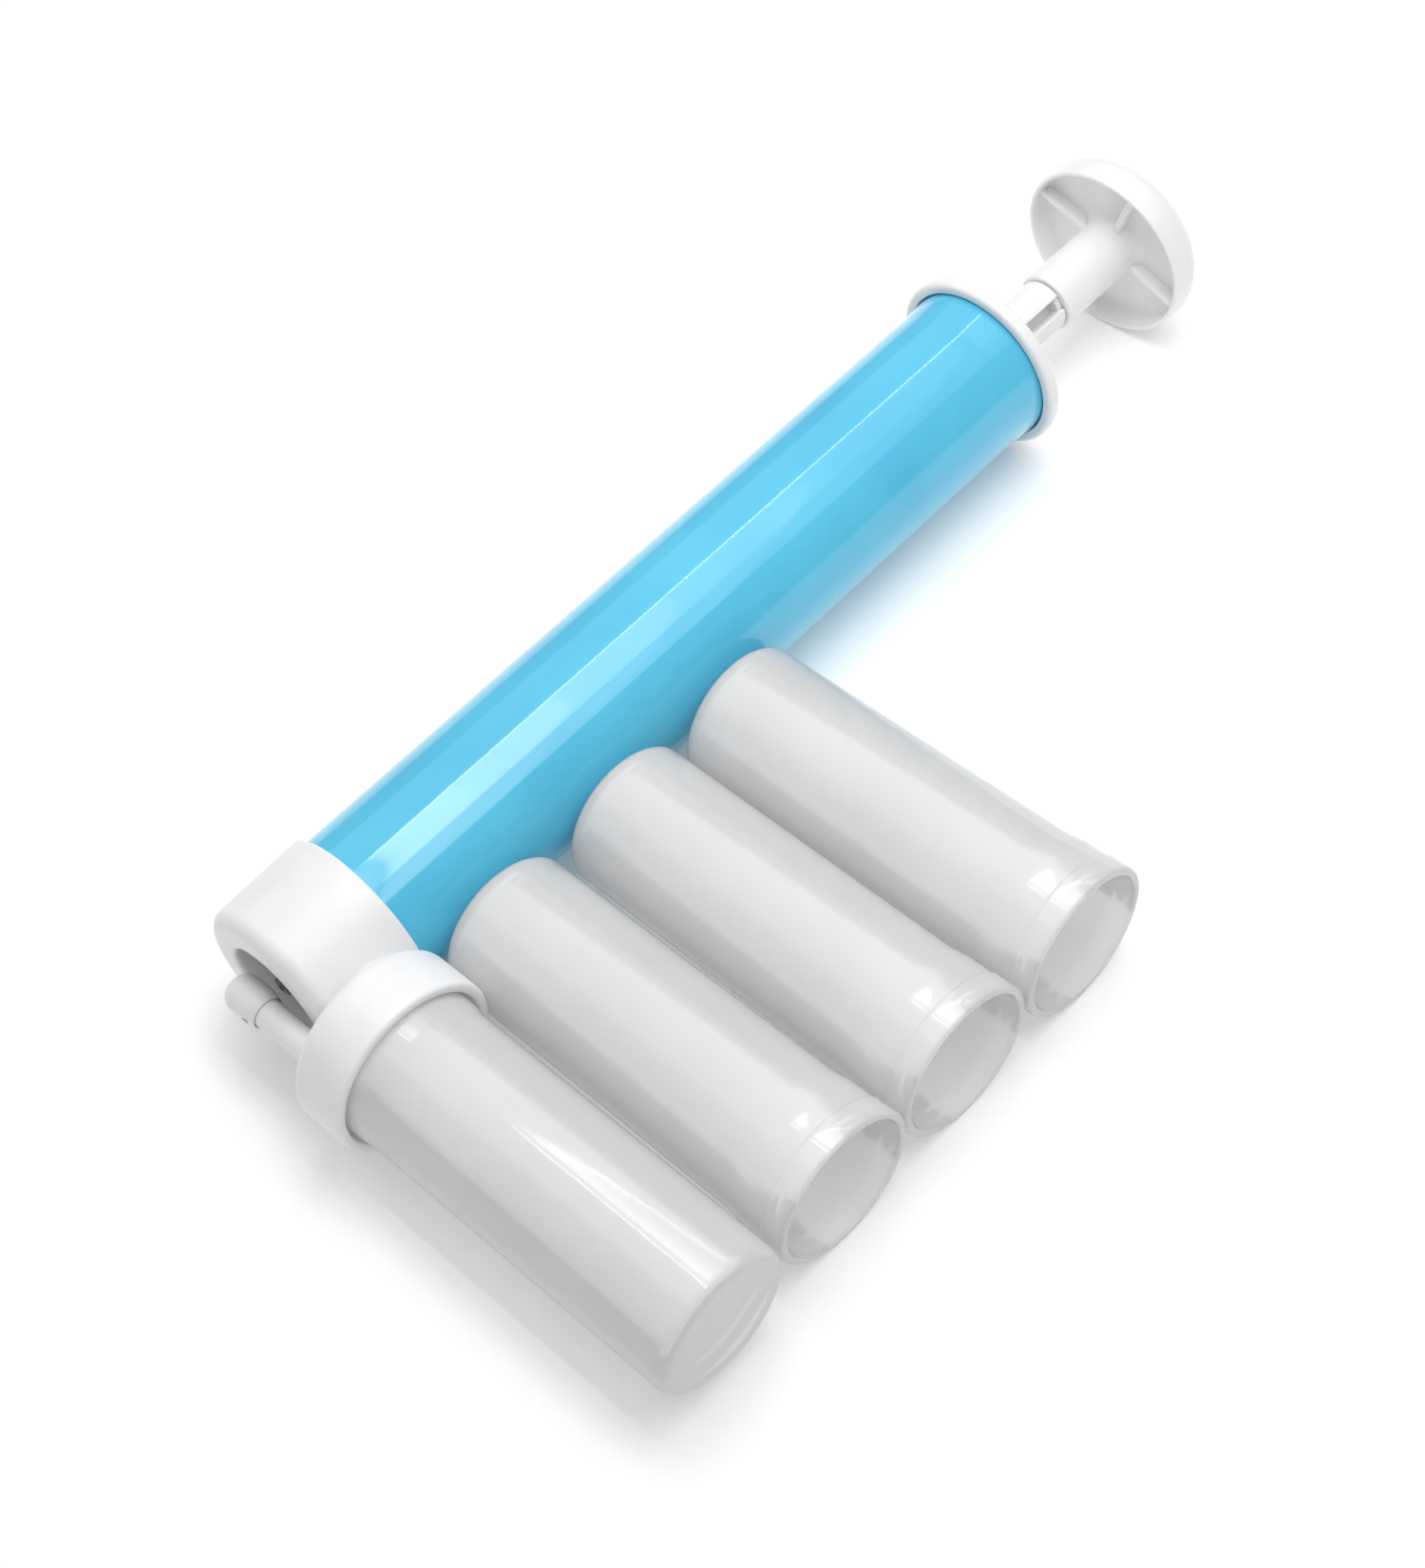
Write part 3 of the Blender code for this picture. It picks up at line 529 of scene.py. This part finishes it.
def make_outlet():
    """Pipe across the mouth, spray tip and bowed dip tube."""
    inwards = Matrix.Translation((PIPE_X, 0, 0)) @ Matrix.Rotation(pi / 2, 4, 'Z')
    socket = TUBE_RADIUS + GAP
    pipe = raw_object("outlet_pipe_moulding", turned_mesh([
        (PIPE_INNER_END, 0), (PIPE_INNER_END, PIPE_RADIUS, 0.6),
        (-PIPE_JAR_END, PIPE_RADIUS, 0.4), (-PIPE_JAR_END, socket, 0.1),
        (TUBE_SOCKET - PIPE_JAR_END, socket), (TUBE_SOCKET - PIPE_JAR_END, PIPE_BORE),
        (1.4, PIPE_BORE), (1.4, 0)], SMALL_SIDES, closed=False))
    pipe.data.transform(inwards)
    foot = TIP_END - TIP_LENGTH
    tip = raw_object("spray_tip_moulding", turned_mesh([
        (TIP_END, 0), (TIP_END, TIP_RADIUS, 2.9),
        (foot + TIP_TAPER, TIP_RADIUS, 6), (foot, TIP_FOOT_RADIUS, 0.2),
        (foot, PIPE_RADIUS + GAP), (PIPE_INNER_END + GAP, PIPE_RADIUS + GAP),
        (PIPE_INNER_END + GAP, 0)], SMALL_SIDES, closed=False))
    tip.data.transform(inwards)
    reach = 2 * TIP_RADIUS
    for thing in (pipe, tip):
        hole = raw_object("jet_hole", turned_mesh([
            (PIPE_X - reach, 0), (PIPE_X - reach, JET_HOLE), (PIPE_X + reach, JET_HOLE),
            (PIPE_X + reach, 0)], 32, closed=False))
        combine(thing, hole, 'DIFFERENCE')
    finish_piece(pipe, HEAD, HEAD_WHITE, "pump", ["outlet_pipe"])
    finish_piece(tip, HEAD, HEAD_WHITE, "pump", ["spray_tip"])

    bow = bezier([(PIPE_X, -PIPE_JAR_END - 2), (PIPE_X - 4.2, -52), (PIPE_X - 1.5, -82),
                  (JAR_AXIS_X + 1.5, -104)], 60)
    start = Vector((PIPE_X, TUBE_SOCKET - PIPE_JAR_END - GAP, 0))
    tube = raw_object("dip_tube_bowed", swept_tube_mesh([start] + bow, TUBE_RADIUS, TUBE_BORE, 32))
    finish_piece(tube, HEAD, SOFT, "pump", ["dip_tube"])


def jar_outline():
    """Outline of a jar, from the middle of its closed end to the middle of its floor."""
    collar = JAR_LENGTH - JAR_COLLAR_LENGTH
    inner = JAR_NECK_RADIUS - JAR_WALL
    step = JAR_COLLAR_RADIUS - 0.35
    return [
        (0, 0),
        (0, JAR_BASE_RADIUS, JAR_CORNER),
        (collar - JAR_FLARE_START, JAR_NECK_RADIUS, 12),
        (collar - JAR_FLARE_END, step, 8),
        (collar, step),
        (collar + 3.2, step, 0.4),
        (collar + 3.6, JAR_COLLAR_RADIUS, 0.4),
        (JAR_LENGTH, JAR_COLLAR_RADIUS, 0.7),
        (JAR_LENGTH, inner + 0.5, 0.5),
        (JAR_LENGTH - 5, inner, 3),
        (JAR_WALL, JAR_BASE_RADIUS - JAR_WALL, JAR_CORNER - JAR_WALL / 2),
        (JAR_WALL, 0),
    ]


def make_jar(name, place, body, node):
    jar = raw_object(name, turned_mesh(jar_outline(), closed=False))
    finish_piece(jar, place, FROSTED, body, [node])


def make_jars():
    make_jar("mounted_jar_moulding", JAR, "mounted_jar", "jar")
    for number, spare in enumerate(SPARE_JARS, start=1):
        make_jar(f"spare_jar_{number}_moulding", spare_jar_frame(*spare), f"loose_jar_{number}",
                 f"spare_jar_{number}")
    top = CAP_TOP + CAP_ROOF + GAP
    rim = JAR_REACH - JAR_LENGTH - GAP
    outwards = Matrix.Translation((JAR_AXIS_X, 0, 0)) @ Matrix.Rotation(-pi / 2, 4, 'Z')
    turned_piece("jar_gasket_ring", [
        (top, GASKET_BORE, 0.3), (top, CAP_BORE - GAP, 0.3), (rim, CAP_BORE - GAP, 0.3),
        (rim, GASKET_BORE, 0.3)], HEAD @ outwards, SILICONE, "pump", ["jar_gasket"])


def make_rear_cap():
    face = REAR_CAP_FRONT + REAR_CAP_THICKNESS
    hole = GUIDE_RADIUS + GAP
    groove = BARREL_REAR + GAP
    spigot = BARREL_BORE - GAP
    ring = BARREL_RADIUS + BARREL_FLARE + GAP
    turned_piece("rear_cap_disc", [
        (face, hole, 0.3), (face, REAR_CAP_RADIUS, 1.4), (REAR_CAP_FRONT, REAR_CAP_RADIUS, 1.1),
        (REAR_CAP_FRONT, ring, 0.3), (groove, ring), (groove, spigot),
        (REAR_CAP_SPIGOT_FRONT, spigot, 0.6), (REAR_CAP_SPIGOT_FRONT, spigot - 1.8, 0.3),
        (groove - 0.7, spigot - 1.8), (groove - 0.7, hole),
    ], PUMP, HANDLE_WHITE, "pump", ["rear_cap"])
    bore = ROD_RADIUS + GAP
    turned_piece("rod_guide_collar", [
        (GUIDE_FRONT, bore, 0.2), (GUIDE_FRONT, GUIDE_RADIUS, 0.2), (face + GAP, GUIDE_RADIUS),
        (face + GAP, GUIDE_FLANGE_RADIUS, 0.2), (GUIDE_FACE, GUIDE_FLANGE_RADIUS, 0.5),
        (GUIDE_FACE, bore, 0.3)], PUMP, HANDLE_WHITE, "pump", ["rod_guide"])


def make_plunger():
    boss_rear = ROD_FRONT + ROD_BOSS_LENGTH
    bar_front, bar_rear = boss_rear - 1, SLEEVE_FRONT - GAP
    rod = raw_object("plunger_rod_bar", grooved_mesh(bar_front, bar_rear))
    bevel = rod.modifiers.new("bevel", 'BEVEL')
    bevel.width = 0.35
    bevel.segments = 4
    apply_modifiers(rod)
    rod.data.transform(Matrix.Rotation(GROOVE_TURN, 4, 'X'))
    boss = raw_object("boss", turned_mesh([
        (ROD_FRONT, SCREW_HOLE, 0.1), (ROD_FRONT, ROD_BOSS_RADIUS, 0.4),
        (boss_rear, ROD_BOSS_RADIUS, 0.4), (boss_rear, 0),
        (boss_rear - 1.5, 0), (boss_rear - 1.5, SCREW_HOLE)], SMALL_SIDES))
    combine(rod, boss, 'UNION')
    spigot = raw_object("spigot", turned_mesh([
        (bar_rear - 1, 0), (bar_rear - 1, SPIGOT_RADIUS), (ROD_REAR, SPIGOT_RADIUS, 0.5),
        (ROD_REAR, 0)], SMALL_SIDES, closed=False))
    combine(rod, spigot, 'UNION')
    finish_piece(rod, PLUNGER, HANDLE_WHITE, "plunger", ["plunger_rod"])

    bore = SPIGOT_RADIUS + GAP
    rim = KNOB_RADIUS - 0.4
    knob = raw_object("knob_disc", turned_mesh([
        (ROD_REAR + GAP, 0),
        (ROD_REAR + GAP, bore),
        (SLEEVE_FRONT, bore, 0.2),
        (SLEEVE_FRONT, SLEEVE_RADIUS, 0.5),
        (KNOB_FLOOR, SLEEVE_RADIUS, 3.0),
        (KNOB_FLOOR, rim - 1.2, 1.4),
        (KNOB_FRONT, rim - 0.9, 0.4),
        (KNOB_FRONT, rim, 0.45),
        (KNOB_FRONT + 5.8, KNOB_RADIUS, 5),
        (KNOB_FRONT + 9.3, KNOB_RADIUS - 2.4, 4),
        (KNOB_TOP - 0.6, 11.0, 12),
        (KNOB_TOP, 4.0, 6),
        (KNOB_TOP, 0),
    ], closed=False))
    for turn in range(4):
        rib = raw_object("rib", block_mesh(
            (KNOB_FRONT + 1.5, (bore + SLEEVE_RADIUS) / 2, -KNOB_RIB / 2),
            (KNOB_FLOOR + 0.5, rim - 0.6, KNOB_RIB / 2)))
        bevel = rib.modifiers.new("bevel", 'BEVEL')
        bevel.width = 0.4
        bevel.segments = 4
        apply_modifiers(rib)
        combine(knob, rib, 'UNION', Matrix.Rotation(turn * pi / 2, 4, 'X'))
    finish_piece(knob, PLUNGER, HANDLE_WHITE, "plunger", ["knob"])


def dress_hidden_nodes():
    """The pieces inside the barrel keep their CAD shape and get their finish."""
    finishes = {"nozzle_seal": GREY_RUBBER, "piston_front": INNER_WHITE, "piston_seal": GREY_RUBBER,
                "piston_rear": INNER_WHITE, "piston_screw": STEEL}
    for node, material in finishes.items():
        mesh = frame["nodes"][node].data
        mesh.materials.clear()
        mesh.materials.append(material)


# ---------------------------------------------------------------- stage, light and camera

def make_floor():
    bm = bmesh.new()
    bmesh.ops.create_grid(bm, x_segments=2, y_segments=2, size=FLOOR_SIZE)
    mesh = bpy.data.meshes.new("floor")
    bm.to_mesh(mesh)
    bm.free()
    floor = in_scene("floor", mesh)
    material, tree, shader = new_material("floor_white")
    mottle(tree, shader, (0.93, 0.93, 0.93), (0.95, 0.95, 0.95), 3)
    shader.inputs["Roughness"].default_value = 0.9
    shader.inputs["Specular IOR Level"].default_value = 0.1
    shader.inputs["Emission Color"].default_value = (1, 1, 1, 1)
    shader.inputs["Emission Strength"].default_value = FLOOR_GLOW
    mesh.materials.append(material)


def area_light(name, middle, size, radiance):
    """A level rectangular light, in mm in the pump's frame, with its brightness per area."""
    data = bpy.data.lights.new(name, 'AREA')
    data.shape = 'RECTANGLE'
    data.size = size[0] * MM
    data.size_y = size[1] * MM
    data.energy = pi * radiance * data.size * data.size_y
    in_scene(name, data).location = PUMP @ Vector(middle)


def make_lights():
    """A window over the pump that fades along and away from it, with a bright edge, and fill."""
    panes = (
        # x from and to, y from and to, radiance
        (69, 75, -400, 135, 22.0), (126, 370, 122, 133, 11.0), (370, 900, 122, 133, 10.0),
        (75, 120, -420, 135, 2.2), (-230, 69, -420, 135, 0.7),
        (126, 170, -180, 122, 6.0), (126, 170, -420, -180, 2.6),
        (170, 225, -180, 122, 5.0), (170, 225, -420, -180, 2.3),
        (225, 290, -180, 122, 3.2), (225, 290, -420, -180, 1.8),
        (290, 370, -180, 122, 2.0), (290, 370, -420, -180, 1.4),
        (370, 470, -180, 122, 1.1), (370, 470, -420, -180, 0.8),
        (470, 900, -420, 122, 0.5),
        (-230, 900, 134, 950, 0.5),
    )
    for number, (x0, x1, y0, y1, radiance) in enumerate(panes):
        middle = ((x0 + x1) / 2, (y0 + y1) / 2, WINDOW_HEIGHT)
        area_light(f"window_{number}", middle, (x1 - x0, y1 - y0), radiance)

    world = bpy.data.worlds.new("studio")
    world.use_nodes = True
    background = world.node_tree.nodes["Background"]
    background.inputs["Color"].default_value = (1, 1, 1, 1)
    background.inputs["Strength"].default_value = SKY_STRENGTH
    bpy.context.scene.world = world


def make_camera():
    level = cos(CAMERA_ELEVATION)
    back = Vector((sin(CAMERA_AZIMUTH) * level, -cos(CAMERA_AZIMUTH) * level, sin(CAMERA_ELEVATION)))
    back = (PUMP.to_3x3() @ back).normalized()
    upright = (PUMP.to_3x3() @ Vector((0, 0, 1))).normalized()
    right = (-back).cross(upright).normalized()
    up = right.cross(-back)
    turned_right = right * cos(CAMERA_ROLL) + up * sin(CAMERA_ROLL)
    turned_up = -right * sin(CAMERA_ROLL) + up * cos(CAMERA_ROLL)
    data = bpy.data.cameras.new("camera")
    data.sensor_width = SENSOR_SIZE
    data.lens = SENSOR_SIZE * FOCAL_LENGTH / IMAGE_HEIGHT
    data.clip_start = 0.01
    matrix = Matrix((turned_right, turned_up, back)).transposed().to_4x4()
    matrix.translation = PUMP @ Vector(CAMERA_TARGET) + back * CAMERA_DISTANCE * MM
    camera = in_scene("camera", data)
    camera.matrix_world = matrix
    bpy.context.scene.camera = camera


make_camera()
make_lights()
make_floor()
make_barrel()
make_spray_head()
make_air_nozzle()
make_outlet()
make_jars()
make_rear_cap()
make_plunger()
dress_hidden_nodes()
bpy.context.scene.view_settings.view_transform = 'Standard'
